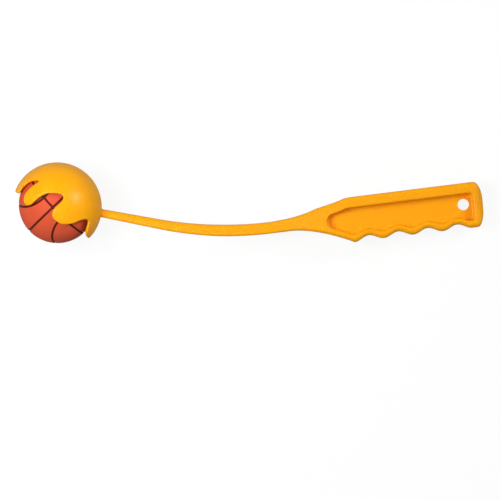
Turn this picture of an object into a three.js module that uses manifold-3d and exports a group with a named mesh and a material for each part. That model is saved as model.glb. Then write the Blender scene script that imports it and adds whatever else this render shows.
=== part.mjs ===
// Dog ball thrower: one plastic moulding, which is a six-fingered cup, a springy arm and a
// recessed grip in a single piece, and the seamed rubber ball that the fingers hold.
//
// Lengths are in millimetres and angles in degrees. The thrower is drawn in its own plane:
// x runs from the cup to the grip, y towards the back of the grip, z across the thickness, and
// zero is the cup's centre. The whole drawing lies on its side, on the cup and the butt.

import * as THREE from 'three';
import { mergeVertices } from 'three/addons/utils/BufferGeometryUtils.js';
import Module from 'manifold-3d';

const wasm = await Module();
wasm.setup();

const degree = Math.PI / 180;
const fullTurn = 360;
const quarterTurn = 90;

// Ball
const ballDiameter = 62;
const seamWidth = 1.7;
const seamDepth = 0.7;
const seamLoopAlongAngle = 69.8;
const seamLoopAcrossAngle = 45.6;
const ballTurnAngles = { x: 7.9, y: -1, z: -46.8 };
const ballFacetCount = 6;
const seamSteps = 40;
const seamSides = 6;

// Cup
const ballPlay = 2.6;
const seatGap = 0.3;
const ballSeatAngle = 77;
const cupWall = 2.3;
const mouthAngle = 237.7;
const fingertipCurl = 0.3;
const curlAngles = { from: 3, to: 17 };
const fingerLeanAngle = 15;
const leanAngles = { from: -20, to: 15 };
const crownStartAngle = -25;
const columnFanPower = 1.5;

// Half of the cup's rim, from the finger opposite the arm to the finger over the arm: the angle
// round the mouth's axis, the angle past the cup's widest circle, and the angle at which the
// wall's column that ends there leaves the crown. The lean towards the first finger comes after.
const rimAngles = [
  [0, 12.3, 0], [16, 12.3, 10], [25, 11.6, 16], [28.6, 8, 20], [29.8, 1.5, 24],
  [32.2, -4.8, 28.4], [36.2, -11, 34.2], [41.6, -15, 40.4], [46.2, -17.2, 46.2], [48.4, -15.4, 48.8],
  [48.2, -8.5, 50.2], [48, -1.5, 51.6], [48.2, 5, 53], [50, 11, 55], [54.4, 16, 57.6],
  [61, 18.9, 60.8], [67.4, 18.7, 64], [71, 15, 66.3], [71.6, 7.6, 68.2], [71.9, 0, 69.8],
  [73.4, -7.2, 72.2], [77, -11.4, 76.2], [81.5, -15, 81], [86, -17.3, 86], [90.6, -17.2, 90.6],
  [94.2, -14, 94.8], [96.4, -8, 97.8], [97.3, -1.5, 100], [98.4, 3.8, 102], [101, 8.6, 104.6],
  [105.4, 12.8, 107.8], [111.2, 15.5, 111.4], [117.4, 16, 115], [122.6, 14.6, 118.4],
  [126.6, 11.1, 121.6], [129.8, 6.4, 124.8], [133.4, -1, 130.2], [137, -5.4, 135.4],
  [141.4, -7.3, 141], [145.4, -6.6, 146], [148.6, -3, 150], [154.2, 5, 156],
  [158.4, 8.8, 160], [164.6, 11.3, 165.2], [172, 12.2, 172.2], [180, 12.3, 180],
];

// Arm, along a spine that leaves the cup straight, bends once and runs straight into the grip
const spineOffset = 2.04;
const armDropAngle = 10.8;
const armStraight = 82.9;
const armBendRadius = 286.6;
const gripRiseAngle = 7.1;
const armRootDepth = 6.5;
const armDepth = 9.3;
const armTaperLength = 98;
const armRootWidth = 10.4;
const armWidth = 12;
const armCrownDepth = 4;
const armCrownWidth = 5;
const armFrontCorner = 2;
const rootFillet = 1.4;
const rootSinkShare = 0.2;

// Grip
const flareLength = 65.4;
const gripWidth = 18;
const gripBack = 16.45;
const gripFront = 19.2;
const gripFrontSpread = 0.75;
const firstRidgeRise = 0.6;
const gripCorner = 3.5;
const fingerGrooveCount = 4;
const groovePitch = 23.7;
const grooveDepth = 3.9;
const buttLength = 9.4;
const buttCrown = 1.3;
const buttLean = 0.5;
const buttRound = 6;
const buttPower = 3;
const buttFlatShare = 0.02;

// The flare's back: share of its length, then share of the rise from the arm to the grip
const flareBackShares = [
  [0, 0], [0.13, 0.04], [0.28, 0.12], [0.43, 0.27], [0.5, 0.375], [0.58, 0.505], [0.75, 0.7],
  [0.87, 0.855], [0.95, 0.975], [1, 1],
];
const flareFrontStartShare = 0.25;
const flareFrontPower = 1.65;
const flareWidthStartShare = 0.05;

// Pocket in each side of the grip, and the hanging hole through the web between them
const webThickness = 3.2;
const pocketNose = 20.1;
const pocketHeel = 6.7;
const rimBack = 8.8;
const rimFront = 5.6;
const rimNose = 5.2;
const pocketHeelRound = 2;
const pocketWaveShare = 0.85;
const pocketFloorFillet = 1.4;
const pocketDraft = 0.25;
const pocketMouthRound = 1.5;
const hangHoleDiameter = 9;
const hangHoleInset = 14.4;
const hangHoleDrop = 0.7;

// How finely the curves are stepped, and by how much a cutter runs past what it cuts
const rimColumnCount = 100;
const crownRowCount = 7;
const fingerRowCount = 5;
const lipSteps = 4;
const leanSolveSteps = 16;
const rimReadingCount = 12;
const cornerSteps = 3;
const armStationCount = 17;
const flareStationCount = 9;
const grooveStationCount = 8;
const pocketSteps = 34;
const pocketEndSteps = 5;
const filletSteps = 2;
const holeSides = 28;
const tipSolveSteps = 48;
const cutOverrun = 1;

const ballRadius = ballDiameter / 2;
const cupInnerRadius = ballRadius + ballPlay;
const cupOuterRadius = cupInnerRadius + cupWall;
const mouthDirection = new THREE.Vector3(
  Math.cos(mouthAngle * degree),
  Math.sin(mouthAngle * degree),
  0,
);
const rootReach = Math.hypot(armRootWidth / 2 + rootFillet, spineOffset);
const rootStart = Math.sqrt(cupOuterRadius ** 2 - rootReach ** 2);
const bendLength = armBendRadius * (armDropAngle + gripRiseAngle) * degree;
const bendEnd = armStraight + bendLength;
const gripStart = bendEnd + flareLength;
const lastRidge = gripStart + fingerGrooveCount * groovePitch;
const buttEnd = lastRidge + buttLength;

const plastic = new THREE.MeshStandardMaterial({ color: 0xf5a80c, roughness: 0.38, metalness: 0 });
const rubber = new THREE.MeshStandardMaterial({ color: 0xd4502f, roughness: 0.7, metalness: 0 });

const mix = (from, to, share) => from + (to - from) * share;
const clampShare = (value) => Math.min(1, Math.max(0, value));
const smoothShare = (value) => clampShare(value) ** 2 * (3 - 2 * clampShare(value));

// A table of [along, rise] shares read as a smooth curve with level ends
function readShares(table, along) {
  const points = table.map(([x, y]) => new THREE.Vector2(x, y));
  const next = Math.max(1, points.findIndex((point) => point.x >= along));
  const slopeAt = (i) => {
    if (i === 0 || i === points.length - 1) return 0;
    return (points[i + 1].y - points[i - 1].y) / (points[i + 1].x - points[i - 1].x);
  };
  const start = points[next - 1];
  const end = points[next];
  const span = end.x - start.x;
  const t = (along - start.x) / span;
  const startPart = (1 + 2 * t) * (1 - t) ** 2 * start.y;
  const startSlope = t * (1 - t) ** 2 * span * slopeAt(next - 1);
  const endPart = t ** 2 * (3 - 2 * t) * end.y;
  const endSlope = t ** 2 * (t - 1) * span * slopeAt(next);
  return startPart + startSlope + endPart + endSlope;
}

// Solids from plain vertex and triangle lists

function signedVolume(vertices, triangles) {
  const [a, b, c] = [new THREE.Vector3(), new THREE.Vector3(), new THREE.Vector3()];
  let volume = 0;
  for (let i = 0; i < triangles.length; i += 3) {
    a.fromArray(vertices, triangles[i] * 3);
    b.fromArray(vertices, triangles[i + 1] * 3);
    c.fromArray(vertices, triangles[i + 2] * 3);
    volume += a.dot(b.cross(c));
  }
  return volume;
}

function toManifold(geometry) {
  const bare = new THREE.BufferGeometry();
  bare.setAttribute('position', geometry.getAttribute('position').clone());
  if (geometry.index) bare.setIndex(geometry.index.clone());
  const merged = mergeVertices(bare);
  const index = merged.index.array;
  const triangles = [];
  for (let i = 0; i < index.length; i += 3) {
    const [a, b, c] = [index[i], index[i + 1], index[i + 2]];
    if (a !== b && b !== c && c !== a) triangles.push(a, b, c);
  }
  const vertices = merged.getAttribute('position').array;
  if (signedVolume(vertices, triangles) < 0) triangles.reverse();
  const mesh = new wasm.Mesh({
    numProp: 3,
    vertProperties: new Float32Array(vertices),
    triVerts: new Uint32Array(triangles),
  });
  return new wasm.Manifold(mesh);
}

function toGeometry(manifold) {
  const mesh = manifold.getMesh();
  const geometry = new THREE.BufferGeometry();
  geometry.setAttribute('position', new THREE.BufferAttribute(mesh.vertProperties, 3));
  geometry.setIndex(new THREE.BufferAttribute(mesh.triVerts, 1));
  geometry.computeVertexNormals();
  return geometry;
}

// Joins rings of equal count into a skin. A ring whose points all lie together closes an end
// by itself, and endOutline, the end rings' flat shape, closes both ends that are open.
function loft(rings, endOutline) {
  const count = rings[0].length;
  const positions = rings.flat().flatMap((point) => point.toArray());
  const index = [];
  for (let row = 0; row < rings.length - 1; row += 1) {
    for (let column = 0; column < count; column += 1) {
      const next = (column + 1) % count;
      const [a, b] = [row * count + column, row * count + next];
      const [c, d] = [a + count, b + count];
      const across = rings[row][next].distanceTo(rings[row + 1][column]);
      const along = rings[row][column].distanceTo(rings[row + 1][next]);
      if (across <= along) index.push(a, b, c, b, d, c);
      else index.push(a, b, d, a, d, c);
    }
  }
  if (endOutline) {
    const last = (rings.length - 1) * count;
    const forwards = THREE.ShapeUtils.isClockWise(endOutline) ? -1 : 1;
    for (const face of THREE.ShapeUtils.triangulateShape(endOutline, [])) {
      const [a, b, c] = forwards > 0 ? face : [...face].reverse();
      index.push(c, b, a, last + a, last + b, last + c);
    }
  }
  const geometry = new THREE.BufferGeometry();
  geometry.setAttribute('position', new THREE.Float32BufferAttribute(positions, 3));
  geometry.setIndex(index);
  return toManifold(geometry);
}

// Cup: a ball-shaped wall whose rim is cut into fingers, with a rounded lip all along it

const mouthSide = new THREE.Vector3(mouthDirection.y, -mouthDirection.x, 0);
const acrossMouth = new THREE.Vector3(0, 0, 1);

function leanedAngle(angle, latitude) {
  const share = (latitude - leanAngles.from) / (leanAngles.to - leanAngles.from);
  return angle - fingerLeanAngle * Math.sin(angle * degree) * Math.max(0, share);
}

function cupDirection(angle, latitude) {
  const round = leanedAngle(angle, latitude) * degree;
  const out = Math.cos(latitude * degree);
  return new THREE.Vector3()
    .addScaledVector(mouthDirection, Math.sin(latitude * degree))
    .addScaledVector(mouthSide, out * Math.cos(round))
    .addScaledVector(acrossMouth, out * Math.sin(round));
}

function curlAt(latitude) {
  const share = (latitude - curlAngles.from) / (curlAngles.to - curlAngles.from);
  return fingertipCurl * smoothShare(share);
}

// Points of the rim at equal steps of the real edge: x is the angle, y the latitude, z the
// angle at the crown
function rimPoints() {
  const half = rimAngles.map((angles) => new THREE.Vector3(...angles));
  const mirrored = half.slice(1, -1).reverse()
    .map((point) => new THREE.Vector3(fullTurn - point.x, point.y, fullTurn - point.z));
  const turn = [...half, ...mirrored];
  const shifted = (points, by) => points.map((point) => (
    point.clone().add(new THREE.Vector3(by, 0, by))
  ));
  const before = shifted(turn.slice(-2), -fullTurn);
  const after = shifted(turn.slice(0, 3), fullTurn);
  const route = [...before, ...turn, ...after];
  const fine = new THREE.CatmullRomCurve3(route, false, 'centripetal')
    .getPoints(route.length * rimReadingCount);
  const once = fine.filter((point) => point.x >= 0 && point.x < fullTurn);
  once.push(...shifted(once.slice(0, 1), fullTurn));
  const places = once.map((point) => cupDirection(point.x, point.y));
  const travelled = [0];
  for (let i = 1; i < places.length; i += 1) {
    travelled.push(travelled[i - 1] + places[i].distanceTo(places[i - 1]));
  }
  const step = travelled[travelled.length - 1] / rimColumnCount;
  return Array.from({ length: rimColumnCount }, (_, column) => {
    const target = column * step;
    const next = Math.max(1, travelled.findIndex((length) => length >= target));
    const share = (target - travelled[next - 1]) / (travelled[next] - travelled[next - 1]);
    return once[next - 1].clone().lerp(once[next], share);
  });
}

// The column that a direction lies on: its angle before the lean, and its latitude
function columnOf(direction) {
  const latitude = Math.asin(direction.dot(mouthDirection)) / degree;
  const across = direction.dot(acrossMouth);
  const round = (Math.atan2(across, direction.dot(mouthSide)) / degree + fullTurn) % fullTurn;
  let angle = round;
  for (let i = 0; i < leanSolveSteps; i += 1) angle += round - leanedAngle(angle, latitude);
  return { angle, latitude };
}

function cupShell() {
  const lipRadius = cupWall / 2;
  const rim = rimPoints();
  const directions = rim.map((point) => cupDirection(point.x, point.y));
  const columns = directions.map((direction, i) => {
    const along = directions[(i + 1) % rimColumnCount].clone()
      .sub(directions[(i + rimColumnCount - 1) % rimColumnCount]);
    const away = new THREE.Vector3().crossVectors(along, direction).normalize();
    const wallMiddle = cupInnerRadius + lipRadius;
    const end = direction.clone().multiplyScalar(wallMiddle).addScaledVector(away, -lipRadius);
    return { away, crownAngle: rim[i].z, ...columnOf(end.normalize()) };
  });
  const surfaceRing = (radius, row) => columns.map(({ angle, latitude, crownAngle }) => {
    const onCrown = Math.min(1, row / crownRowCount);
    const onFinger = Math.max(0, (row - crownRowCount) / fingerRowCount);
    const here = mix(-quarterTurn, crownStartAngle, onCrown) + (latitude - crownStartAngle) * onFinger;
    const column = mix(crownAngle, angle, onFinger ** columnFanPower);
    return cupDirection(column, here).multiplyScalar(radius - curlAt(here));
  });
  const rows = Array.from({ length: crownRowCount + fingerRowCount + 1 }, (_, row) => row);
  const outside = rows.map((row) => surfaceRing(cupOuterRadius, row));
  const inside = rows.map((row) => surfaceRing(cupInnerRadius, row)).reverse();
  const [outerEnd, innerEnd] = [outside[outside.length - 1], inside[0]];
  const lip = Array.from({ length: lipSteps - 1 }, (_, i) => {
    const swing = Math.PI * ((i + 1) / lipSteps);
    return columns.map(({ away }, column) => {
      const middle = outerEnd[column].clone().lerp(innerEnd[column], 0.5);
      const half = outerEnd[column].clone().sub(middle);
      return middle.addScaledVector(half, Math.cos(swing))
        .addScaledVector(away, lipRadius * Math.sin(swing));
    });
  });
  return loft([...outside, ...lip, ...inside]);
}

// Arm and grip: sections set square to the spine

function spineAt(length) {
  const start = -armDropAngle * degree;
  const bent = Math.min(Math.max(length - armStraight, 0), bendLength) / armBendRadius;
  const angle = start + bent;
  const place = new THREE.Vector2(-spineOffset * Math.sin(start), spineOffset * Math.cos(start));
  const straight = Math.min(length, armStraight);
  place.x += straight * Math.cos(start);
  place.y += straight * Math.sin(start);
  place.x += armBendRadius * (Math.sin(angle) - Math.sin(start));
  place.y -= armBendRadius * (Math.cos(angle) - Math.cos(start));
  const rest = Math.max(0, length - bendEnd);
  place.x += rest * Math.cos(angle);
  place.y += rest * Math.sin(angle);
  return { place, angle };
}

function fromSpine(length, back, across) {
  const { place, angle } = spineAt(length);
  return new THREE.Vector3(
    place.x - back * Math.sin(angle),
    place.y + back * Math.cos(angle),
    across,
  );
}

function armTaperAt(length) {
  return clampShare((length - rootStart) / armTaperLength);
}

function rootFilletAt(length) {
  const towardsCup = 1 - clampShare((length - rootStart) / rootFillet);
  return rootFillet * (1 - Math.sqrt(1 - towardsCup ** 2));
}

function armHalfDepth(length) {
  return mix(armRootDepth, armDepth, armTaperAt(length)) / 2 + rootFilletAt(length);
}

function backAt(length) {
  const along = clampShare((length - bendEnd) / flareLength);
  return mix(armHalfDepth(length), gripBack, readShares(flareBackShares, along));
}

function ridgeAt(length) {
  const spread = gripFrontSpread * clampShare((length - gripStart) / (lastRidge - gripStart));
  return gripFront + spread + firstRidgeRise * (1 - clampShare((length - gripStart) / groovePitch));
}

function grooveAt(length) {
  if (length <= gripStart || length >= lastRidge) return 0;
  return (grooveDepth / 2) * (1 - Math.cos((2 * Math.PI * (length - gripStart)) / groovePitch));
}

function frontAt(length) {
  const along = clampShare((length - bendEnd) / flareLength);
  const flared = Math.max(0, along - flareFrontStartShare) / (1 - flareFrontStartShare);
  return mix(armHalfDepth(length), ridgeAt(length), flared ** flareFrontPower) - grooveAt(length);
}

function halfWidthAt(length) {
  const arm = mix(armRootWidth, armWidth, armTaperAt(length)) / 2 + rootFilletAt(length);
  const start = bendEnd + flareWidthStartShare * flareLength;
  return mix(arm, gripWidth / 2, smoothShare((length - start) / (gripStart - start)));
}

// How deep and how wide the section's corners are rounded: the arm's back is crowned
function cornersAt(length) {
  const along = clampShare((length - bendEnd) / flareLength);
  return {
    back: new THREE.Vector2(
      mix(armCrownDepth, gripCorner, along),
      mix(armCrownWidth, gripCorner, along),
    ),
    front: new THREE.Vector2().setScalar(mix(armFrontCorner, gripCorner, along)),
  };
}

// A rounded rectangle from -front to back and -halfWidth to halfWidth, as [back, across] points
function roundedSection(back, front, halfWidth, corners) {
  const quarters = [
    [back, halfWidth, corners.back], [-front, halfWidth, corners.front],
    [-front, -halfWidth, corners.front], [back, -halfWidth, corners.back],
  ];
  return quarters.flatMap(([x, y, corner], quarter) => (
    Array.from({ length: cornerSteps + 1 }, (_, step) => {
      const angle = (quarter + step / cornerSteps) * quarterTurn * degree;
      return new THREE.Vector2(
        x - corner.x * (Math.sign(x) - Math.cos(angle)),
        y - corner.y * (Math.sign(y) - Math.sin(angle)),
      );
    })
  ));
}

// How far the butt's end stands out: most at mid-depth, and a little more towards the back
function buttSwellAt(length, back) {
  const onButt = clampShare((length - buttEnd + buttRound) / buttRound);
  const middle = (backAt(length) - frontAt(length)) / 2;
  const reach = (backAt(length) + frontAt(length)) / 2;
  const rise = (back - middle) / reach;
  return onButt ** 2 * (buttCrown * (1 - rise ** 2) + buttLean * rise);
}

function sectionAt(length) {
  const toEnd = clampShare((buttEnd - length) / buttRound);
  const short = mix(buttFlatShare, 1, toEnd);
  const round = (1 - (1 - short) ** buttPower) ** (1 / buttPower);
  const [back, front] = [backAt(length), frontAt(length)];
  const middle = (back - front) / 2;
  const half = ((back + front) / 2) * round;
  const corners = cornersAt(length);
  corners.back.multiplyScalar(round);
  corners.front.multiplyScalar(round);
  return roundedSection(middle + half, half - middle, halfWidthAt(length) * round, corners);
}

function stations() {
  const steps = (from, to, count) => (
    Array.from({ length: count }, (_, i) => mix(from, to, i / count))
  );
  const filletShares = [0, 0.1, 0.35, 0.65];
  const buttStart = buttEnd - buttRound;
  const buttShares = [0, 0.25, 0.5, 0.7, 0.84, 0.94, 0.985, 1];
  return [
    rootStart - rootSinkShare * cupWall,
    ...filletShares.map((share) => rootStart + share * rootFillet),
    ...steps(rootStart + rootFillet, bendEnd, armStationCount),
    ...steps(bendEnd, gripStart, flareStationCount),
    ...steps(gripStart, lastRidge, fingerGrooveCount * grooveStationCount),
    lastRidge,
    ...buttShares.map((share) => mix(buttStart, buttEnd, share)),
  ];
}

function armAndGrip() {
  const rings = stations().map((length) => sectionAt(length)
    .map((point) => fromSpine(length + buttSwellAt(length, point.x), point.x, point.y)));
  return loft(rings, sectionAt(buttEnd));
}

// Pocket cutter for one side, lofted through its floor fillet, drafted wall and rounded mouth

function pocketOutline(grow) {
  const nose = gripStart - pocketNose - grow;
  const heel = buttEnd - pocketHeel + grow;
  const backEdge = (length) => backAt(length) - rimBack + grow;
  const frontEdge = (length) => {
    const ridge = frontAt(length) + grooveAt(length);
    const softGroove = mix(grooveDepth / 2, grooveAt(length), pocketWaveShare);
    const noseShare = clampShare((gripStart - length) / pocketNose);
    return ridge - softGroove - mix(rimFront, rimNose, noseShare) + grow;
  };
  const noseRound = (backEdge(nose) + frontEdge(nose)) / 2;
  const heelRound = pocketHeelRound + grow;
  const pulledIn = (distance, radius) => {
    const inside = Math.min(distance, radius);
    return radius - Math.sqrt(radius ** 2 - (radius - inside) ** 2);
  };
  const quarter = Array.from({ length: pocketEndSteps }, (_, i) => (
    1 - Math.cos((i / pocketEndSteps) * quarterTurn * degree)
  ));
  const straight = Array.from({ length: pocketSteps + 1 }, (_, i) => (
    mix(nose + noseRound, heel - heelRound, i / pocketSteps)
  ));
  const lengths = [
    ...quarter.map((share) => nose + share * noseRound),
    ...straight,
    ...quarter.map((share) => heel - share * heelRound).reverse(),
  ];
  const side = (edge) => lengths.map((length) => (
    edge(length) - pulledIn(length - nose, noseRound) - pulledIn(heel - length, heelRound)
  ));
  const back = side(backEdge).map((height, i) => new THREE.Vector2(lengths[i], height));
  const front = side(frontEdge).map((height, i) => new THREE.Vector2(lengths[i], -height));
  return [...back, ...front.slice(1).reverse()];
}

function pocketCutter(sideSign) {
  const floor = webThickness / 2;
  const top = gripWidth / 2;
  const quarter = Array.from({ length: filletSteps + 1 }, (_, i) => (
    (i / filletSteps) * quarterTurn * degree
  ));
  const levels = [
    ...quarter.map((angle) => ({
      across: floor + pocketFloorFillet * (1 - Math.cos(angle)),
      grow: -pocketFloorFillet * (1 - Math.sin(angle)),
    })),
    ...quarter.map((angle) => ({
      across: top - pocketMouthRound * (1 - Math.sin(angle)),
      grow: pocketDraft + pocketMouthRound * (1 - Math.cos(angle)),
    })),
    { across: top + cutOverrun, grow: pocketDraft + pocketMouthRound + cutOverrun },
  ];
  const rings = levels.map(({ across, grow }) => pocketOutline(grow)
    .map((point) => fromSpine(point.x, point.y, sideSign * across)));
  return loft(rings, pocketOutline(-pocketFloorFillet));
}

function hangHoleCutter() {
  const drill = new THREE.CylinderGeometry(
    hangHoleDiameter / 2, hangHoleDiameter / 2, webThickness + 2 * cutOverrun, holeSides,
  );
  drill.rotateX(quarterTurn * degree);
  const centre = fromSpine(buttEnd - hangHoleInset, -hangHoleDrop, 0);
  drill.translate(centre.x, centre.y, centre.z);
  return toManifold(drill);
}

function thrower() {
  const body = cupShell().add(armAndGrip())
    .subtract(pocketCutter(1))
    .subtract(pocketCutter(-1))
    .subtract(hangHoleCutter());
  const mesh = new THREE.Mesh(toGeometry(body), plastic);
  mesh.name = 'thrower';
  return mesh;
}

// Ball: a round body with two crossing seams and two loops sunk into it

const seamRadius = ((seamWidth / 2) ** 2 + seamDepth ** 2) / (2 * seamDepth);
const seamCentreRadius = ballRadius + seamRadius - seamDepth;

function seamTube(directionAt) {
  const points = Array.from({ length: seamSteps }, (_, step) => (
    directionAt((2 * Math.PI * step) / seamSteps).multiplyScalar(seamCentreRadius)
  ));
  const curve = new THREE.CatmullRomCurve3(points, true);
  return toManifold(new THREE.TubeGeometry(curve, seamSteps, seamRadius, seamSides, true));
}

function loopDirection(side, turn) {
  const spread = mix(seamLoopAcrossAngle, seamLoopAlongAngle, Math.cos(turn) ** 2) * degree;
  const across = Math.sin(spread);
  return new THREE.Vector3(
    side * Math.cos(spread),
    across * Math.sin(turn),
    across * Math.cos(turn),
  );
}

function ball() {
  const round = toManifold(new THREE.IcosahedronGeometry(ballRadius, ballFacetCount));
  const body = [
    (turn) => new THREE.Vector3(0, Math.cos(turn), Math.sin(turn)),
    (turn) => new THREE.Vector3(Math.cos(turn), 0, Math.sin(turn)),
    (turn) => loopDirection(1, turn),
    (turn) => loopDirection(-1, turn),
  ].reduce((solid, seam) => solid.subtract(seamTube(seam)), round);
  const mesh = new THREE.Mesh(toGeometry(body), rubber);
  mesh.name = 'ball';
  const seat = cupInnerRadius - ballRadius - seatGap;
  mesh.position.x = seat * Math.cos(ballSeatAngle * degree);
  mesh.position.y = seat * Math.sin(ballSeatAngle * degree);
  mesh.rotation.set(ballTurnAngles.x * degree, ballTurnAngles.y * degree, ballTurnAngles.z * degree, 'ZYX');
  return mesh;
}

// Lying on its side: the drawing tips until the butt comes down to the cup's underside

function restingTip(geometry) {
  const position = geometry.getAttribute('position');
  const lowest = (tip, keep) => {
    let low = Infinity;
    for (let i = 0; i < position.count; i += 1) {
      const [x, z] = [position.getX(i), position.getZ(i)];
      if (keep(x)) low = Math.min(low, z * Math.cos(tip) - x * Math.sin(tip));
    }
    return low;
  };
  const isCup = (x) => x < cupOuterRadius;
  let [small, large] = [0, Math.asin(cupOuterRadius / armStraight)];
  for (let i = 0; i < tipSolveSteps; i += 1) {
    const tip = (small + large) / 2;
    const cupIsLower = lowest(tip, isCup) < lowest(tip, (x) => !isCup(x));
    if (cupIsLower) small = tip;
    else large = tip;
  }
  return (small + large) / 2;
}

const launcher = thrower();
const drawing = new THREE.Group();
drawing.add(launcher, ball());
drawing.rotation.y = restingTip(launcher.geometry);

const model = new THREE.Group();
model.add(drawing);
model.updateMatrixWorld(true);
const extent = new THREE.Box3().setFromObject(model, true);
const centre = extent.getCenter(new THREE.Vector3());
drawing.position.set(-centre.x, -centre.y, -extent.min.z);
model.updateMatrixWorld(true);

export default model;
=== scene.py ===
import math

import bmesh
import bpy
import numpy as np
from mathutils import Matrix, Vector


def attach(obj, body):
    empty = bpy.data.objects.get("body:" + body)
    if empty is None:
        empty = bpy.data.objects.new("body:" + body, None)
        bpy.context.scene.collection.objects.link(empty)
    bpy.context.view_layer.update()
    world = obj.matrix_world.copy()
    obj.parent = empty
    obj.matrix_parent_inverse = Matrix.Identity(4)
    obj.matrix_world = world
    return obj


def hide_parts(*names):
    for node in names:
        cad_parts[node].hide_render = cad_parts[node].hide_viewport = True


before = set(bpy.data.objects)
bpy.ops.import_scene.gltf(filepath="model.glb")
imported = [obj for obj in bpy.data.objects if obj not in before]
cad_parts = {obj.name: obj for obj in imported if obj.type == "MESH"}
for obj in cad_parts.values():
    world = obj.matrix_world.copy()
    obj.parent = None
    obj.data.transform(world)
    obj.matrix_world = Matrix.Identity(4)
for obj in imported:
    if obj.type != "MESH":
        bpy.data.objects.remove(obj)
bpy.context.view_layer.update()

# The thrower is worked out in its own drawing, in millimetres: x runs from the cup to the grip, y
# to the back of the grip, z across the thickness, and zero is the cup's centre. The drawing lies
# on its side, tipped a little because the cup is wider than the grip.
MM = 0.001
TILT = math.radians(4.59175)
CUP_CENTRE = Vector((-0.153589, -0.003575, 0.035890))
DRAWING = Matrix.Translation(CUP_CENTRE) @ Matrix.Rotation(TILT, 4, "Y") @ Matrix.Scale(MM, 4)

# Ball: its own sizes, its turns about x, y and z, and the distance and direction from the cup's
# centre to its own. The shoulder is the share of the seam's width at which the groove runs out.
BALL = {
    "Radius": 31.0,
    "Seam Width": 1.7,
    "Seam Shoulder": 0.62,
    "Seam Depth": 0.7,
    "Loop Along": math.radians(69.8),
    "Loop Across": math.radians(45.6),
    "Roundness": 7,
}
BALL_TURN = [math.radians(turn) for turn in (7.9, -1.0, -46.8)]
BALL_SEAT = (2.3, math.radians(77.0))

# Cup, in millimetres and degrees. A latitude counts from the cup's widest circle to its mouth.
CUP_INSIDE = 33.6
CUP_WALL = 2.3
CUP_OUTSIDE = CUP_INSIDE + CUP_WALL
MOUTH_ANGLE = 237.7
TIP_CURL = 0.3
CURL_LATITUDES = (3.0, 17.0)
FINGER_LEAN = 15.0
LEAN_LATITUDES = (-20.0, 15.0)
CROWN_LATITUDE = -25.0
COLUMN_FAN = 1.5

# Half of the cup's rim, from the finger opposite the arm to the finger over the arm: the angle
# round the mouth, the latitude, and the angle at the crown of the wall's line to that point
RIM_ANGLES = [
    (0, 12.3, 0), (16, 12.3, 10), (25, 11.6, 16), (28.6, 8, 20), (29.8, 1.5, 24),
    (32.2, -4.8, 28.4), (36.2, -11, 34.2), (41.6, -15, 40.4), (46.2, -17.2, 46.2),
    (48.4, -15.4, 48.8), (48.2, -8.5, 50.2), (48, -1.5, 51.6), (48.2, 5, 53), (50, 11, 55),
    (54.4, 16, 57.6), (61, 18.9, 60.8), (67.4, 18.7, 64), (71, 15, 66.3), (71.6, 7.6, 68.2),
    (71.9, 0, 69.8), (73.4, -7.2, 72.2), (77, -11.4, 76.2), (81.5, -15, 81), (86, -17.3, 86),
    (90.6, -17.2, 90.6), (94.2, -14, 94.8), (96.4, -8, 97.8), (97.3, -1.5, 100), (98.4, 3.8, 102),
    (101, 8.6, 104.6), (105.4, 12.8, 107.8), (111.2, 15.5, 111.4), (117.4, 16, 115),
    (122.6, 14.6, 118.4), (126.6, 11.1, 121.6), (129.8, 6.4, 124.8), (133.4, -1, 130.2),
    (137, -5.4, 135.4), (141.4, -7.3, 141), (145.4, -6.6, 146), (148.6, -3, 150),
    (154.2, 5, 156), (158.4, 8.8, 160), (164.6, 11.3, 165.2), (172, 12.2, 172.2),
    (180, 12.3, 180),
]

# Arm and grip, in millimetres and radians. The spine is the line that the sections are set on.
ARM_AND_GRIP = {
    "Spine Offset": 2.04,
    "Drop Angle": math.radians(10.8),
    "Rise Angle": math.radians(7.1),
    "Straight": 82.9,
    "Bend Radius": 286.6,
    "Root Depth": 6.5,
    "Arm Depth": 9.3,
    "Taper Length": 98.0,
    "Root Width": 10.4,
    "Arm Width": 12.0,
    "Crown Depth": 4.0,
    "Crown Width": 5.0,
    "Front Corner": 2.0,
    "Root Fillet": 1.4,
    "Root Sink": 0.5,
    "Flare Length": 65.4,
    "Flare Front Start": 0.25,
    "Flare Front Power": 1.65,
    "Flare Width Start": 0.05,
    "Grip Width": 18.0,
    "Grip Back": 16.45,
    "Grip Front": 19.2,
    "Ridge Spread": 0.75,
    "First Ridge Rise": 0.6,
    "Grip Corner": 3.5,
    "Groove Count": 4,
    "Groove Pitch": 23.7,
    "Groove Depth": 3.9,
    "Butt Length": 9.4,
    "Butt Crown": 1.3,
    "Butt Lean": 0.5,
    "Butt Round": 6.0,
    "Butt Power": 3.0,
    "Cup Radius": CUP_OUTSIDE,
}

# How the flare's back rises to the grip's, as shares of the flare's length and of the rise
FLARE_BACK = [
    (0, 0), (0.13, 0.04), (0.28, 0.12), (0.43, 0.27), (0.5, 0.375), (0.58, 0.505), (0.75, 0.7),
    (0.87, 0.855), (0.95, 0.975), (1, 1),
]

# The pocket in each side of the grip, and the web that is left between the two
POCKET = {
    "Web": 3.2,
    "Nose": 20.1,
    "Heel": 6.7,
    "Rim Back": 8.8,
    "Rim Front": 5.6,
    "Rim Nose": 5.2,
    "Heel Round": 2.0,
    "Wave": 0.85,
    "Floor Fillet": 1.4,
    "Draft": 0.25,
    "Mouth Round": 1.5,
    "Overrun": 1.0,
}

# Hanging hole
HOLE_RADIUS = 4.5
HOLE_INSET = 14.4
HOLE_DROP = 0.7
HOLE_EDGE = 0.45

# Points nearer than this, in millimetres, are one: in each piece, and in the joined moulding
MERGE_REACH = 0.0005
LAST_MERGE_REACH = 0.002

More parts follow.
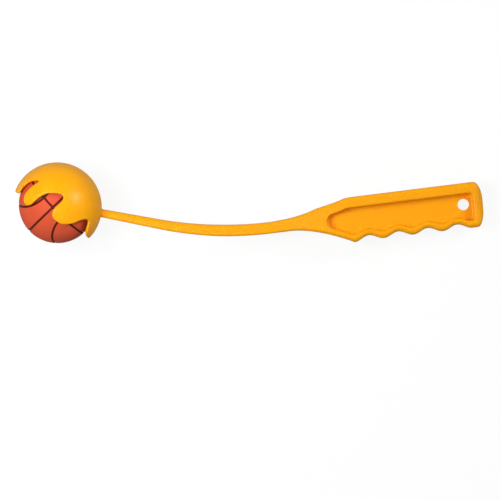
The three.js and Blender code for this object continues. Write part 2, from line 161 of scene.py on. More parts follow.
# The photograph's frame: pixels, and millimetres of the drawing at its middle plane
FRAME_PIXELS = 500
MM_PER_PIXEL = 0.8
CUP_CENTRE_PIXEL = (56.9, 207.2)
CAMERA_DISTANCE = 16.0
SENSOR_WIDTH = 36.0


class Signal:
    """A socket that can be reckoned with: each operator adds the Math node that it takes."""

    def __init__(self, net, socket):
        self.net = net
        self.socket = socket

    def math(self, operation, *others):
        return self.net.node("ShaderNodeMath", {"operation": operation}, [self, *others])

    def __add__(self, other):
        return self.math("ADD", other)

    __radd__ = __add__

    def __mul__(self, other):
        return self.math("MULTIPLY", other)

    __rmul__ = __mul__

    def __sub__(self, other):
        return self.math("SUBTRACT", other)

    def __rsub__(self, other):
        return self.net.node("ShaderNodeMath", {"operation": "SUBTRACT"}, [other, self])

    def __truediv__(self, other):
        return self.math("DIVIDE", other)

    def __rtruediv__(self, other):
        return self.net.node("ShaderNodeMath", {"operation": "DIVIDE"}, [other, self])

    def __pow__(self, other):
        return self.math("POWER", other)

    def __gt__(self, other):
        return self.math("GREATER_THAN", other)

    def __lt__(self, other):
        return self.math("LESS_THAN", other)

    def least(self, other):
        return self.math("MINIMUM", other)

    def most(self, other):
        return self.math("MAXIMUM", other)

    def held(self):
        return self.least(1.0).most(0.0)

    def smooth(self):
        share = self.held()
        return share * share * (3.0 - 2.0 * share)

    def sine(self):
        return self.math("SINE")

    def cosine(self):
        return self.math("COSINE")

    def root(self):
        return self.most(0.0).math("SQRT")

    def size(self):
        return self.math("ABSOLUTE")

    def parts(self):
        split = self.net.node("ShaderNodeSeparateXYZ", {}, [self])
        return [Signal(self.net, socket) for socket in split.socket.node.outputs]


class Net:
    """A node tree that is written node by node. Curve points are set like any other setting."""

    def __init__(self, tree):
        self.tree = tree

    def node(self, kind, settings=None, inputs=None, output=0):
        made = self.tree.nodes.new(kind)
        for name, value in (settings or {}).items():
            if name == "points":
                line = made.mapping.curves[0]
                for place in value[1:-1]:
                    line.points.new(*place)
                for point, place in zip(line.points, value):
                    point.location = place
                    point.handle_type = "AUTO_CLAMPED"
                made.mapping.update()
            else:
                setattr(made, name, value)
        given = inputs.items() if isinstance(inputs, dict) else enumerate(inputs or [])
        for name, value in given:
            socket = self.socket_of(made.inputs, name)
            if isinstance(value, Signal):
                self.tree.links.new(value.socket, socket)
            else:
                socket.default_value = value
        return Signal(self, self.socket_of(made.outputs, output))

    @staticmethod
    def socket_of(sockets, name):
        if isinstance(name, int):
            return sockets[name]
        return next((s for s in sockets if s.identifier == name), None) or sockets[name]

    def blend(self, start, end, share):
        return start + (end - start) * share

    def colours(self, first, second, share):
        return self.node(
            "ShaderNodeMix",
            {"data_type": "RGBA"},
            {"Factor_Float": share, "A_Color": first, "B_Color": second},
            "Result_Color",
        )


def put_in(name, data):
    """Puts a new object with this mesh, camera or lamp into the scene."""
    thing = bpy.data.objects.new(name, data)
    bpy.context.scene.collection.objects.link(thing)
    return thing


def grow(name, sizes, plan, finish):
    """Makes a Geometry Nodes tree from a plan, runs it and keeps the result as a plain mesh."""
    tree = bpy.data.node_groups.new(name, "GeometryNodeTree")
    tree.interface.new_socket("Mesh", in_out="OUTPUT", socket_type="NodeSocketGeometry")
    keys = {}
    for label, value in sizes.items():
        kind = "NodeSocketInt" if isinstance(value, int) else "NodeSocketFloat"
        keys[label] = tree.interface.new_socket(label, in_out="INPUT", socket_type=kind).identifier
    net = Net(tree)
    entry = tree.nodes.new("NodeGroupInput")
    shape = plan(net, {label: Signal(net, entry.outputs[label]) for label in sizes})
    shape = net.node("GeometryNodeRealizeInstances", {}, {"Geometry": shape})
    shape = net.node("GeometryNodeSetMaterial", {}, {"Geometry": shape, "Material": finish})
    tree.links.new(shape.socket, tree.nodes.new("NodeGroupOutput").inputs[0])
    piece = put_in(name, bpy.data.meshes.new(name))
    maker = piece.modifiers.new(name, "NODES")
    maker.node_group = tree
    for label, value in sizes.items():
        maker[keys[label]] = value
    settle(piece)
    return piece


def settle(piece):
    """Turns a piece with modifiers into a plain mesh without them."""
    graph = bpy.context.evaluated_depsgraph_get()
    mesh = bpy.data.meshes.new_from_object(piece.evaluated_get(graph), depsgraph=graph)
    piece.modifiers.clear()
    piece.data = mesh


def close_up(piece, reach):
    """Merges a mesh's doubled points within a reach and turns all its faces outwards."""
    work = bmesh.new()
    work.from_mesh(piece.data)
    bmesh.ops.remove_doubles(work, verts=work.verts, dist=reach)
    bmesh.ops.dissolve_degenerate(work, edges=work.edges, dist=reach)
    bmesh.ops.recalc_face_normals(work, faces=work.faces)
    if work.calc_volume(signed=True) < 0:
        bmesh.ops.reverse_faces(work, faces=work.faces)
    work.to_mesh(piece.data)
    work.free()


def skin(name, rings, finish):
    """A mesh over rings of points, each ring closed on itself."""
    count = len(rings[0])
    points = np.concatenate(rings)
    here = np.arange(count)
    after = (here + 1) % count
    faces = []
    for row in range(len(rings) - 1):
        low, high = row * count, (row + 1) * count
        faces += np.stack([low + here, low + after, high + after, high + here], 1).tolist()
    mesh = bpy.data.meshes.new(name)
    mesh.from_pydata(points.tolist(), [], faces)
    mesh.materials.append(finish)
    return put_in(name, mesh)


def clamp(value):
    """Holds numbers between 0 and 1."""
    return np.clip(value, 0.0, 1.0)


def smooth(value):
    """An even rise from 0 to 1 that starts and ends flat."""
    return clamp(value) ** 2 * (3 - 2 * clamp(value))


# Arm and grip: sections of a rounded rectangle along the spine. A fillet or rounding runs over this
# share of its quarter turn, just short of the place where it would stand upright.

ROUND_SHARE = 0.98


def grip_profile(net, size, s):
    """The arm's and grip's outline at a length along the spine, and the spine's own place."""
    root_reach = size["Root Width"] * 0.5 + size["Root Fillet"]
    root_reach = (root_reach * root_reach + size["Spine Offset"] * size["Spine Offset"]).root()
    root = (size["Cup Radius"] * size["Cup Radius"] - root_reach * root_reach).root()
    bend_length = size["Bend Radius"] * (size["Drop Angle"] + size["Rise Angle"])
    bend_end = size["Straight"] + bend_length
    grip_start = bend_end + size["Flare Length"]
    last_ridge = grip_start + size["Groove Count"] * size["Groove Pitch"]
    butt_end = last_ridge + size["Butt Length"]

    taper = ((s - root) / size["Taper Length"]).held()
    towards_cup = (1.0 - ((s - root) / size["Root Fillet"]).held()) * ROUND_SHARE
    fillet = size["Root Fillet"] * (1.0 - (1.0 - towards_cup * towards_cup).root())
    arm_half = net.blend(size["Root Depth"], size["Arm Depth"], taper) * 0.5 + fillet
    flare = ((s - bend_end) / size["Flare Length"]).held()
    back_share = net.node("ShaderNodeFloatCurve", {"points": FLARE_BACK}, {"Value": flare})
    back = net.blend(arm_half, size["Grip Back"], back_share)

    along_grip = ((s - grip_start) / (last_ridge - grip_start)).held()
    past_first = ((s - grip_start) / size["Groove Pitch"]).held()
    ridge = size["Grip Front"] + size["Ridge Spread"] * along_grip
    ridge = ridge + size["First Ridge Rise"] * (1.0 - past_first)
    swell = ((flare - size["Flare Front Start"]) / (1.0 - size["Flare Front Start"])).most(0.0)
    ridge = net.blend(arm_half, ridge, swell ** size["Flare Front Power"])
    wave = 1.0 - ((s - grip_start) / size["Groove Pitch"] * (2 * math.pi)).cosine()
    groove = size["Groove Depth"] * 0.5 * wave * (s > grip_start) * (s < last_ridge)

    half_width = net.blend(size["Root Width"], size["Arm Width"], taper) * 0.5 + fillet
    width_start = bend_end + size["Flare Width Start"] * size["Flare Length"]
    widen = ((s - width_start) / (grip_start - width_start)).smooth()
    half_width = net.blend(half_width, size["Grip Width"] * 0.5, widen)

    start = size["Drop Angle"] * -1.0
    turn = (s - size["Straight"]).most(0.0).least(bend_length) / size["Bend Radius"]
    angle = start + turn
    straight = s.least(size["Straight"])
    rest = (s - bend_end).most(0.0)
    x = straight * start.cosine() - size["Spine Offset"] * start.sine()
    x = x + size["Bend Radius"] * (angle.sine() - start.sine()) + rest * angle.cosine()
    y = straight * start.sine() + size["Spine Offset"] * start.cosine()
    y = y - size["Bend Radius"] * (angle.cosine() - start.cosine()) + rest * angle.sine()
    return {
        "root": root, "bend_end": bend_end, "grip_start": grip_start, "last_ridge": last_ridge,
        "butt_end": butt_end, "back": back, "ridge": ridge, "groove": groove,
        "half_width": half_width, "flare": flare, "x": x, "y": y, "angle": angle,
    }


def off_spine(net, profile, back, across):
    """The place that lies a distance back from the spine and across the thickness."""
    x = profile["x"] - back * profile["angle"].sine()
    y = profile["y"] + back * profile["angle"].cosine()
    return net.node("ShaderNodeCombineXYZ", {}, [x, y, across])


def grid_steps(net, columns, rows):
    """A grid, and the whole number of each point's column and row."""
    grid = net.node("GeometryNodeMeshGrid", {}, [1.0, 1.0, columns, rows])
    x, y, _ = net.node("GeometryNodeInputPosition").parts()
    column = ((x + 0.5) * (columns - 1)).math("ROUND")
    row = ((y + 0.5) * (rows - 1)).math("ROUND")
    return grid, column, row


def placed_and_merged(net, grid, place):
    """The grid with each point at its place, and points that fall together made one."""
    moved = net.node("GeometryNodeSetPosition", {}, {"Geometry": grid, "Position": place})
    merge = {"Geometry": moved, "Distance": MERGE_REACH}
    return net.node("GeometryNodeMergeByDistance", {}, merge)


CORNER_STEPS = 8
STATION_STEPS = {
    "cap": 1, "sink": 1, "fillet": 10, "arm": 64, "flare": 60, "grooves": 144, "butt": 5,
    "round": 22,
}


def arm_and_grip(net, size):
    """Rounded sections set square to the spine at stations, from the cup's wall to the butt."""
    stations = sum(STATION_STEPS.values()) + 2
    grid, station, corner_step = grid_steps(net, stations, 4 * (CORNER_STEPS + 1) + 1)
    plain = grip_profile(net, size, station * 0.0)
    root, bend_end = plain["root"], plain["bend_end"]
    grip_start, last_ridge, butt_end = plain["grip_start"], plain["last_ridge"], plain["butt_end"]
    spans = {
        "cap": 0.0,
        "sink": size["Root Sink"],
        "fillet": size["Root Fillet"],
        "arm": bend_end - root - size["Root Fillet"],
        "flare": size["Flare Length"],
        "grooves": last_ridge - grip_start,
        "butt": size["Butt Length"] - size["Butt Round"],
    }
    s = root - size["Root Sink"]
    before = 0
    for span, length in spans.items():
        s = s + ((station - before) / STATION_STEPS[span]).held() * length
        before += STATION_STEPS[span]
    rounding = ((station - before) / STATION_STEPS["round"]).held()
    s = s + (rounding * (math.pi / 2)).sine() * size["Butt Round"]

    at = grip_profile(net, size, s)
    from_end = ((butt_end - s) / size["Butt Round"]).held()
    towards_end = 1.0 - from_end * ROUND_SHARE - (1.0 - ROUND_SHARE)
    full = (1.0 - towards_end ** size["Butt Power"]).most(0.0) ** (1.0 / size["Butt Power"])
    full = full * (station > 0.5) * (station < stations - 1.5)
    front = at["ridge"] - at["groove"]
    middle = (at["back"] - front) * 0.5
    half_depth = (at["back"] + front) * 0.5 * full
    half_width = at["half_width"] * full
    corner = size["Grip Corner"]
    back_deep = net.blend(size["Crown Depth"], corner, at["flare"]).least(half_width)
    back_wide = net.blend(size["Crown Width"], corner, at["flare"]).least(half_width)
    front_round = net.blend(size["Front Corner"], corner, at["flare"]).least(half_width)

    quarter = (corner_step / (CORNER_STEPS + 1)).math("FLOOR")
    swing = (corner_step - quarter * (CORNER_STEPS + 1)) / CORNER_STEPS
    angle = (quarter + swing.held()) * (math.pi / 2)
    diagonal = quarter * (math.pi / 2) + math.pi / 4
    back_side = diagonal.cosine().math("SIGN")
    left_side = diagonal.sine().math("SIGN")
    on_back = back_side > 0.0
    deep = net.blend(front_round, back_deep, on_back)
    wide = net.blend(front_round, back_wide, on_back)
    rise = (half_depth - deep) * back_side + deep * angle.cosine()
    across = (half_width - wide) * left_side + wide * angle.sine()
    share = rise / ((at["back"] + front) * 0.5)
    swell = size["Butt Crown"] * (1.0 - share * share) + size["Butt Lean"] * share
    on_butt = ((s - butt_end) / size["Butt Round"] + 1.0).held()
    swollen = grip_profile(net, size, s + swell * on_butt * on_butt)
    place = off_spine(net, swollen, middle + rise, across)
    return placed_and_merged(net, grid, place)


FILLET_STEPS = 7
END_STEPS = 14
WALL_STEPS = 150


def grip_pocket(side):
    """The plan of the pocket in one side: a floor fillet, a drafted wall and a rounded mouth."""

    def plan(net, size):
        levels = 2 * (FILLET_STEPS + 1) + 3
        lengths = 2 * END_STEPS + WALL_STEPS
        grid, level, step = grid_steps(net, levels, 2 * lengths + 2)

        floor_swing = ((level - 1.0) / FILLET_STEPS).held() * (math.pi / 2)
        mouth_swing = ((level - (FILLET_STEPS + 2.0)) / FILLET_STEPS).held() * (math.pi / 2)
        on_mouth = level > FILLET_STEPS + 1.5
        past = (level - (2 * FILLET_STEPS + 2.0)).held()
        top = size["Grip Width"] * 0.5
        floor_across = size["Web"] * 0.5 + size["Floor Fillet"] * (1.0 - floor_swing.cosine())
        floor_grow = size["Floor Fillet"] * (floor_swing.sine() - 1.0)
        mouth_across = top - size["Mouth Round"] * (1.0 - mouth_swing.sine())
        mouth_across = mouth_across + size["Overrun"] * past
        mouth_grow = size["Draft"] + size["Mouth Round"] * (1.0 - mouth_swing.cosine())
        mouth_grow = mouth_grow + size["Overrun"] * past
        across = net.blend(floor_across, mouth_across, on_mouth)
        grown = net.blend(floor_grow, mouth_grow, on_mouth)
        on_middle = (level < 0.5) + (level > levels - 1.5)

        def edges(at, s):
            back = at["back"] - size["Rim Back"] + grown
            half_groove = size["Groove Depth"] * 0.5
            soft = net.blend(half_groove, at["groove"], size["Wave"])
            towards_nose = ((at["grip_start"] - s) / size["Nose"]).held()
            rim = net.blend(size["Rim Front"], size["Rim Nose"], towards_nose)
            return back, at["ridge"] - soft - rim + grown

        plain = grip_profile(net, size, level * 0.0)
        nose = plain["grip_start"] - size["Nose"] - grown
        heel = plain["butt_end"] - size["Heel"] + grown
        nose_back, nose_front = edges(grip_profile(net, size, nose), nose)
        nose_round = (nose_back + nose_front) * 0.5
        heel_round = size["Heel Round"] + grown

        on_front = step > lengths + 0.5
        count = net.blend(step, 2.0 * lengths + 1.0 - step, on_front)
        nose_turn = (count / END_STEPS).held() * (math.pi / 2)
        heel_turn = ((lengths - count) / END_STEPS).held() * (math.pi / 2)
        along = ((count - END_STEPS) / WALL_STEPS).held()
        wall = net.blend(nose + nose_round, heel - heel_round, along)
        s = wall - nose_round * nose_turn.cosine() + heel_round * heel_turn.cosine()

        def pulled_in(distance, radius):
            short = radius - distance.least(radius).most(0.0)
            return radius - (radius * radius - short * short).root()

        at = grip_profile(net, size, s)
        back, front = edges(at, s)
        pull = pulled_in(s - nose, nose_round) + pulled_in(heel - s, heel_round)
        height = net.blend(back - pull, (front - pull) * -1.0, on_front)
        height = net.blend(height, (back - front) * 0.5, on_middle)
        place = off_spine(net, at, height, across * side)
        return placed_and_merged(net, grid, place)

    return plan


# Cup: a ball-shaped wall whose rim is cut into fingers, with a rounded lip all along it

RIM_COLUMNS = 420
CROWN_ROWS = 22
FINGER_ROWS = 30
LIP_STEPS = 12
ROUTE_READINGS = 30
LEAN_PASSES = 16
MOUTH = np.array([math.cos(math.radians(MOUTH_ANGLE)), math.sin(math.radians(MOUTH_ANGLE)), 0.0])
MOUTH_SIDE = np.array([MOUTH[1], -MOUTH[0], 0.0])
ACROSS = np.array([0.0, 0.0, 1.0])


def leaned(angle, latitude):
    """The angle round the mouth at which a point stands, once its finger leans."""
    share = (latitude - LEAN_LATITUDES[0]) / (LEAN_LATITUDES[1] - LEAN_LATITUDES[0])
    return angle - FINGER_LEAN * np.sin(np.radians(angle)) * np.maximum(0.0, share)


def cup_direction(angle, latitude):
    """The way from the cup's centre to each point of the rim or wall."""
    turn = np.radians(leaned(angle, latitude))
    out = np.cos(np.radians(latitude))
    up = np.sin(np.radians(latitude))
    return (
        np.multiply.outer(up, MOUTH)
        + np.multiply.outer(out * np.cos(turn), MOUTH_SIDE)
        + np.multiply.outer(out * np.sin(turn), ACROSS)
    )


def curl(latitude):
    """How far the wall draws in towards the ball, in millimetres."""
    share = (latitude - CURL_LATITUDES[0]) / (CURL_LATITUDES[1] - CURL_LATITUDES[0])
    return TIP_CURL * smooth(share)


def curve_through(points):
    """Even readings of a smooth curve through points, whose bends are shared out by distance."""
    readings = []
    share = np.linspace(0.0, 1.0, ROUTE_READINGS, endpoint=False)[:, None]
    for a, b, c, d in zip(points, points[1:], points[2:], points[3:]):
        knots = np.cumsum([0.0] + [math.dist(p, q) ** 0.5 for p, q in ((a, b), (b, c), (c, d))])
        t = knots[1] + (knots[2] - knots[1]) * share

        def mixed(first, second, start, end):
            return (first * (end - t) + second * (t - start)) / (end - start)

        ab = mixed(a, b, knots[0], knots[1])
        bc = mixed(b, c, knots[1], knots[2])
        cd = mixed(c, d, knots[2], knots[3])
        abc = mixed(ab, bc, knots[0], knots[2])
        bcd = mixed(bc, cd, knots[1], knots[3])
        readings.append(mixed(abc, bcd, knots[1], knots[2]))
    return np.concatenate(readings)


def rim_points():
    """Points of the rim at equal steps of the real edge: angle, latitude, angle at the crown."""
    half = np.array(RIM_ANGLES, float)
    mirrored = half[-2:0:-1] * [-1, 1, -1] + [360, 0, 360]
    turn = np.concatenate([half, mirrored])
    around = np.array([360.0, 0.0, 360.0])
    route = np.concatenate([turn[-2:] - around, turn, turn[:3] + around])
    fine = curve_through(route)
    fine = fine[(fine[:, 0] >= 0) & (fine[:, 0] < 360)]
    fine = np.concatenate([fine, fine[:1] + around])
    places = cup_direction(fine[:, 0], fine[:, 1])
    travelled = np.concatenate([[0.0], np.cumsum(np.linalg.norm(np.diff(places, axis=0), axis=1))])
    stops = np.arange(RIM_COLUMNS) / RIM_COLUMNS * travelled[-1]
    return np.stack([np.interp(stops, travelled, fine[:, i]) for i in range(3)], 1)


def cup_wall(finish):
    """The wall outside and inside, lofted from the crown to the rim, and the lip between the two.

    The lip is a half round, so the wall's own ends lie half its thickness short of the rim, at
    right angles to it. Their angles are found by undoing the lean a little at a time.
    """
    lip = CUP_WALL / 2
    angle, latitude, crown = rim_points().T
    directions = cup_direction(angle, latitude)
    along = np.roll(directions, -1, 0) - np.roll(directions, 1, 0)
    away = np.cross(along, directions)
    away /= np.linalg.norm(away, axis=1)[:, None]
    ends = directions * (CUP_INSIDE + lip) - away * lip
    ends /= np.linalg.norm(ends, axis=1)[:, None]
    latitude = np.degrees(np.arcsin(ends @ MOUTH))
    turn = np.degrees(np.arctan2(ends @ ACROSS, ends @ MOUTH_SIDE)) % 360
    angle = turn.copy()
    for _ in range(LEAN_PASSES):
        angle += turn - leaned(angle, latitude)

    def ring(radius, row):
        on_crown = min(1.0, row / CROWN_ROWS)
        on_finger = max(0.0, (row - CROWN_ROWS) / FINGER_ROWS)
        here = -90 + (CROWN_LATITUDE + 90) * on_crown + (latitude - CROWN_LATITUDE) * on_finger
        column = crown + (angle - crown) * on_finger ** COLUMN_FAN
        return cup_direction(column, here) * (radius - curl(here))[:, None]

    rows = range(CROWN_ROWS + FINGER_ROWS + 1)
    outside = [ring(CUP_OUTSIDE, row) for row in rows]
    inside = [ring(CUP_INSIDE, row) for row in rows]
    middle = (outside[-1] + inside[-1]) / 2
    half = (outside[-1] - inside[-1]) / 2
    swings = [math.pi * (step + 1) / LIP_STEPS for step in range(LIP_STEPS - 1)]
    edge = [middle + half * math.cos(turn) + away * lip * math.sin(turn) for turn in swings]
    return skin("cup_wall", [*outside, *edge, *reversed(inside)], finish)


HOLE_STEPS = 96
HOLE_EDGE_STEPS = 6


def hanging_hole(finish):
    """The hole's cutter: a drill that widens to a rounded edge at each face of the web."""
    arm = ARM_AND_GRIP
    start, end = -arm["Drop Angle"], arm["Rise Angle"]
    straight, radius, offset = arm["Straight"], arm["Bend Radius"], arm["Spine Offset"]
    rest = arm["Flare Length"] + arm["Groove Count"] * arm["Groove Pitch"]
    rest += arm["Butt Length"] - HOLE_INSET
    x = straight * math.cos(start) - offset * math.sin(start)
    x += radius * (math.sin(end) - math.sin(start)) + rest * math.cos(end)
    y = straight * math.sin(start) + offset * math.cos(start)
    y += radius * (math.cos(start) - math.cos(end)) + rest * math.sin(end)
    x += HOLE_DROP * math.sin(end)
    y -= HOLE_DROP * math.cos(end)

    face = POCKET["Web"] / 2
    outline = []
    for step in range(HOLE_EDGE_STEPS + 1):
        turn = math.pi / 2 * step / HOLE_EDGE_STEPS
        wider, lower = HOLE_EDGE * (1 - math.cos(turn)), HOLE_EDGE * (1 - math.sin(turn))
        outline.append((HOLE_RADIUS + wider, face - lower))
    outline.append((HOLE_RADIUS + HOLE_EDGE, face + POCKET["Overrun"]))
    outline.append((0.0, face + POCKET["Overrun"]))
    outline = [(r, -z) for r, z in reversed(outline)] + outline
    around = np.linspace(0, 2 * math.pi, HOLE_STEPS, endpoint=False)
    rings = [
        np.stack([x + r * np.cos(around), y + r * np.sin(around), np.full(HOLE_STEPS, z)], 1)
        for r, z in outline
    ]
    return skin("hanging_hole", rings, finish)


CORNER_ANGLE = math.radians(38)


def moulded_thrower(finish):
    """The whole moulding: the cup joined to the arm and grip, less the pockets and the hole."""
    body = cup_wall(finish)
    pocket_sizes = {**ARM_AND_GRIP, **POCKET}
    tools = [
        ("UNION", grow("arm_and_grip", ARM_AND_GRIP, arm_and_grip, finish)),
        ("DIFFERENCE", grow("pocket_near", pocket_sizes, grip_pocket(1), finish)),
        ("DIFFERENCE", grow("pocket_far", pocket_sizes, grip_pocket(-1), finish)),
        ("DIFFERENCE", hanging_hole(finish)),
    ]
    close_up(body, MERGE_REACH)
    for operation, tool in tools:
        close_up(tool, MERGE_REACH)
        cut = body.modifiers.new(tool.name, "BOOLEAN")
        cut.operation = operation
        cut.object = tool
        cut.solver = "MANIFOLD"
        settle(body)
    for _, tool in tools:
        bpy.data.objects.remove(tool)
    close_up(body, LAST_MERGE_REACH)
    body.data.transform(DRAWING)
    body.name = body.data.name = "thrower_moulding"
    smooth_over(body, CORNER_ANGLE)
    return body


def smooth_over(piece, angle):
    """Smooth shading that keeps flat faces flat and breaks only at real corners."""
    piece.data.shade_smooth()
    piece.data.set_sharp_from_angle(angle=angle)
    weighing = piece.modifiers.new("weigh", "WEIGHTED_NORMAL")
    weighing.keep_sharp = True
    weighing.weight = 90
    settle(piece)


# Ball


def seamed_ball(net, size):
    """A round ball with two crossing seams and two looped seams sunk into it."""
    round_ball = net.node(
        "GeometryNodeMeshIcoSphere",
        {},
        {"Radius": size["Radius"], "Subdivisions": size["Roundness"]},
    )
    place = net.node("GeometryNodeInputPosition")
    outward = net.node("ShaderNodeVectorMath", {"operation": "NORMALIZE"}, [place])
    x, y, z = outward.parts()
    spread = x.size().math("ARCCOSINE")
    turn = net.node("ShaderNodeMath", {"operation": "ARCTAN2"}, [y, z])
    along = turn.cosine() * turn.cosine()
    loop = net.blend(size["Loop Across"], size["Loop Along"], along)
    slope = (size["Loop Along"] - size["Loop Across"]) * (2.0 * turn).sine() / loop.sine()
    to_loop = (spread - loop).size() / (1.0 + slope * slope).root()
    to_cross = x.size().least(y.size()).math("ARCSINE")
    distance = to_loop.least(to_cross) * size["Radius"]
    sunk = 1.0 - (distance / (size["Seam Width"] * size["Seam Shoulder"])).smooth()
    inward = net.node(
        "ShaderNodeVectorMath",
        {"operation": "SCALE"},
        {"Vector": outward, "Scale": sunk * size["Seam Depth"] * -1.0},
    )
    sunk_ball = net.node("GeometryNodeSetPosition", {}, {"Geometry": round_ball, "Offset": inward})
    return net.node(
        "GeometryNodeStoreNamedAttribute",
        {"data_type": "FLOAT", "domain": "POINT"},
        {"Geometry": sunk_ball, "Name": "seam_distance", "Value": distance},
    )


def seated_ball(finish):
    """The ball turned as in the photograph and laid in the cup."""
    ball = grow("ball_rubber", BALL, seamed_ball, finish)
    reach, angle = BALL_SEAT
    seat = Vector((reach * math.cos(angle), reach * math.sin(angle), 0))
    turn = (
        Matrix.Rotation(BALL_TURN[2], 4, "Z")
        @ Matrix.Rotation(BALL_TURN[1], 4, "Y")
        @ Matrix.Rotation(BALL_TURN[0], 4, "X")
    )
    ball.data.transform(DRAWING @ Matrix.Translation(seat) @ turn)
    ball.data.shade_smooth()
    return ball


# Materials. Colours are linear, and scales count per metre.

AMBER = (0.96, 0.382, 0.001, 1.0)
PALE_AMBER = (0.985, 0.412, 0.002, 1.0)
RED_RUBBER = (0.61, 0.076, 0.029, 1.0)
PALE_RUBBER = (0.69, 0.095, 0.037, 1.0)
SEAM_BROWN = (0.1, 0.01, 0.002, 1.0)
WHITE = (1.0, 1.0, 1.0, 1.0)
PAPER = (0.95, 0.95, 0.95, 1.0)
FLOOR_GREY = (0.32, 0.32, 0.32, 1.0)

# Half the width of the parting line, in metres, and how far each side of a seam's middle its
# brown is full, and then fades, in millimetres
PARTING_HALF = 0.00018
SEAM_FULL = 0.72
SEAM_FADE = 0.33

# How much of the floor's white is even, so that the rest of it takes the shadow
EVEN_WHITE = 0.9
ROOM_LEVEL = 0.29


def new_material(name):
    """An empty material and the net that fills it."""
    material = bpy.data.materials.new(name)
    material.use_nodes = True
    material.node_tree.nodes.clear()
    return material, Net(material.node_tree)


def lead_out(net, exit_kind, shader):
    """Links a shader to the surface of its material or world."""
    exit_node = net.tree.nodes.new(exit_kind)
    net.tree.links.new(shader.socket, exit_node.inputs["Surface"])


def amber_plastic():
    """Satin plastic that lets a little light in, with a faint parting line at mid thickness."""
    material, net = new_material("amber_plastic")
    place = net.node("ShaderNodeTexCoord", output="Object")
    drawn_place = net.node(
        "ShaderNodeMapping",
        {"vector_type": "TEXTURE"},
        {"Vector": place, "Location": CUP_CENTRE, "Rotation": (0.0, TILT, 0.0)},
    )
    _, _, across = drawn_place.parts()
    cloud = net.node("ShaderNodeTexNoise", {}, {"Vector": place, "Scale": 22.0, "Detail": 3.0})
    grain = net.node("ShaderNodeTexNoise", {}, {"Vector": place, "Scale": 2600.0, "Detail": 2.0})
    rub = net.node("ShaderNodeTexNoise", {}, {"Vector": place, "Scale": 190.0, "Detail": 5.0})
    parting = 1.0 - (across.size() / PARTING_HALF).smooth()
    height = 0.2 * grain + 0.3 * rub + 1.2 * parting
    bump = net.node("ShaderNodeBump", {}, {"Strength": 0.3, "Distance": 0.00008, "Height": height})
    shader = net.node(
        "ShaderNodeBsdfPrincipled",
        {},
        {
            "Base Color": net.colours(AMBER, PALE_AMBER, cloud),
            "Roughness": 0.30 + 0.06 * rub + 0.03 * grain,
            "Normal": bump,
            "IOR": 1.5,
            "Specular IOR Level": 0.22,
            "Subsurface Weight": 0.5,
            "Subsurface Radius": (1.0, 0.25, 0.03),
            "Subsurface Scale": 0.0022,
        },
    )
    lead_out(net, "ShaderNodeOutputMaterial", shader)
    return material


def seamed_rubber():
    """Matt pebbled rubber, smooth and brown in the seams."""
    material, net = new_material("seamed_rubber")
    place = net.node("ShaderNodeTexCoord", output="Object")
    distance = net.node("ShaderNodeAttribute", {"attribute_name": "seam_distance"}, output="Fac")
    pebble = net.node(
        "ShaderNodeTexVoronoi",
        {"feature": "SMOOTH_F1"},
        {"Vector": place, "Scale": 950.0, "Smoothness": 0.6},
    )
    cloud = net.node("ShaderNodeTexNoise", {}, {"Vector": place, "Scale": 60.0, "Detail": 4.0})
    rub = net.node("ShaderNodeTexNoise", {}, {"Vector": place, "Scale": 420.0, "Detail": 4.0})
    seam = 1.0 - ((distance - SEAM_FULL) / SEAM_FADE).smooth()
    skin_red = net.colours(RED_RUBBER, PALE_RUBBER, cloud)
    height = (pebble + 0.3 * rub) * (1.0 - seam)
    bump = net.node("ShaderNodeBump", {}, {"Strength": 0.5, "Distance": 0.0002, "Height": height})
    shader = net.node(
        "ShaderNodeBsdfPrincipled",
        {},
        {
            "Base Color": net.colours(skin_red, SEAM_BROWN, seam),
            "Roughness": 0.58 + 0.14 * rub - 0.08 * seam,
            "Normal": bump,
            "IOR": 1.5,
            "Specular IOR Level": 0.15,
        },
    )
    lead_out(net, "ShaderNodeOutputMaterial", shader)
    return material


def pale_floor():
    """White paper to the camera, with the object's shadow on it, and grey to the object."""
    material, net = new_material("pale_floor")
    camera = net.node("ShaderNodeLightPath", output="Is Camera Ray")
    through = net.node("ShaderNodeLightPath", output="Is Transmission Ray")
    grey = net.node("ShaderNodeBsdfDiffuse", {}, {"Color": FLOOR_GREY})
    paper = net.node("ShaderNodeBsdfDiffuse", {}, {"Color": PAPER})
    white = net.node("ShaderNodeEmission", {}, {"Color": WHITE, "Strength": 1.0})
    seen = net.node("ShaderNodeMixShader", {}, [EVEN_WHITE, paper, white])
    floor = net.node("ShaderNodeMixShader", {}, [camera.most(through), grey, seen])
    lead_out(net, "ShaderNodeOutputMaterial", floor)
    return material


def white_room():
    """A world that is white to the camera and lights the object softly from all round."""
    world = bpy.data.worlds.new("white_room")
    world.use_nodes = True
    world.node_tree.nodes.clear()
    net = Net(world.node_tree)
    camera = net.node("ShaderNodeLightPath", output="Is Camera Ray")
    level = net.blend(ROOM_LEVEL, 1.0, camera)
    glow = net.node("ShaderNodeBackground", {}, {"Color": WHITE, "Strength": level})
    lead_out(net, "ShaderNodeOutputWorld", glow)
    bpy.context.scene.world = world


# Camera, floor and light

RIGHT = Vector((math.cos(TILT), 0.0, -math.sin(TILT)))
UP = Vector((0.0, 1.0, 0.0))
TOWARDS_CAMERA = Vector((math.sin(TILT), 0.0, math.cos(TILT)))
FLOOR_REACH = 30.0

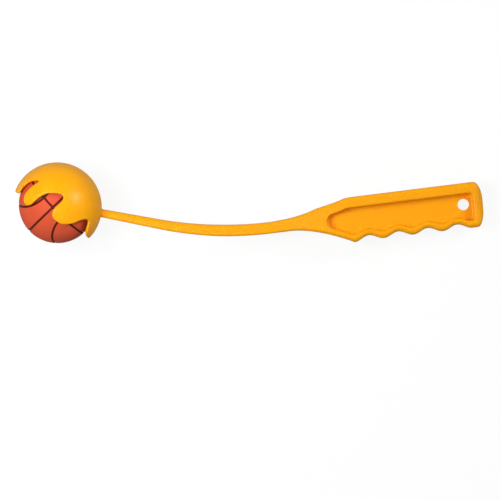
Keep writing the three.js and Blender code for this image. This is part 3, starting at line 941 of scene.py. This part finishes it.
# Each lamp's place from the cup's centre and its width, in metres, and its power in watts
LAMPS = {
    "key": ((-0.27, 0.0375, 0.6975), 0.42, 5.7),
    "spark": ((1.6, 0.83, 0.98), 0.6, 16.0),
}


def place_camera():
    """A long lens from far off, square to the thrower, that frames it as the photograph does."""
    middle = FRAME_PIXELS / 2
    right = (middle - CUP_CENTRE_PIXEL[0]) * MM_PER_PIXEL
    up = (CUP_CENTRE_PIXEL[1] - middle) * MM_PER_PIXEL
    aim = DRAWING @ Vector((right, up, 0.0))
    lens = bpy.data.cameras.new("camera")
    lens.sensor_width = SENSOR_WIDTH
    lens.lens = SENSOR_WIDTH * CAMERA_DISTANCE / (FRAME_PIXELS * MM_PER_PIXEL * MM)
    lens.clip_end = 100.0
    turn = Matrix((RIGHT, UP, TOWARDS_CAMERA)).transposed().to_4x4()
    camera = put_in("camera", lens)
    camera.matrix_world = Matrix.Translation(aim + TOWARDS_CAMERA * CAMERA_DISTANCE) @ turn
    bpy.context.scene.camera = camera


def soft_lamp(name, from_cup, width, power):
    """A round lamp that faces the cup's centre."""
    light = bpy.data.lights.new(name, "AREA")
    light.shape = "DISK"
    light.size = width
    light.energy = power
    lamp = put_in(name, light)
    lamp.location = CUP_CENTRE + Vector(from_cup)
    lamp.rotation_euler = Vector(from_cup).to_track_quat("Z", "Y").to_euler()


def lay_floor():
    """A wide square of floor under the object."""
    mesh = bpy.data.meshes.new("floor")
    sides = ((-1, -1), (1, -1), (1, 1), (-1, 1))
    corners = [(x * FLOOR_REACH, y * FLOOR_REACH, 0) for x, y in sides]
    mesh.from_pydata(corners, [], [(0, 1, 2, 3)])
    mesh.materials.append(pale_floor())
    put_in("floor", mesh)


place_camera()
lay_floor()
white_room()
for name, (from_cup, width, power) in LAMPS.items():
    soft_lamp(name, from_cup, width, power)

thrower = moulded_thrower(amber_plastic())
ball = seated_ball(seamed_rubber())
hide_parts("thrower")
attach(thrower, "thrower")
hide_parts("ball")
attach(ball, "ball")

bpy.context.scene.view_settings.view_transform = "Standard"
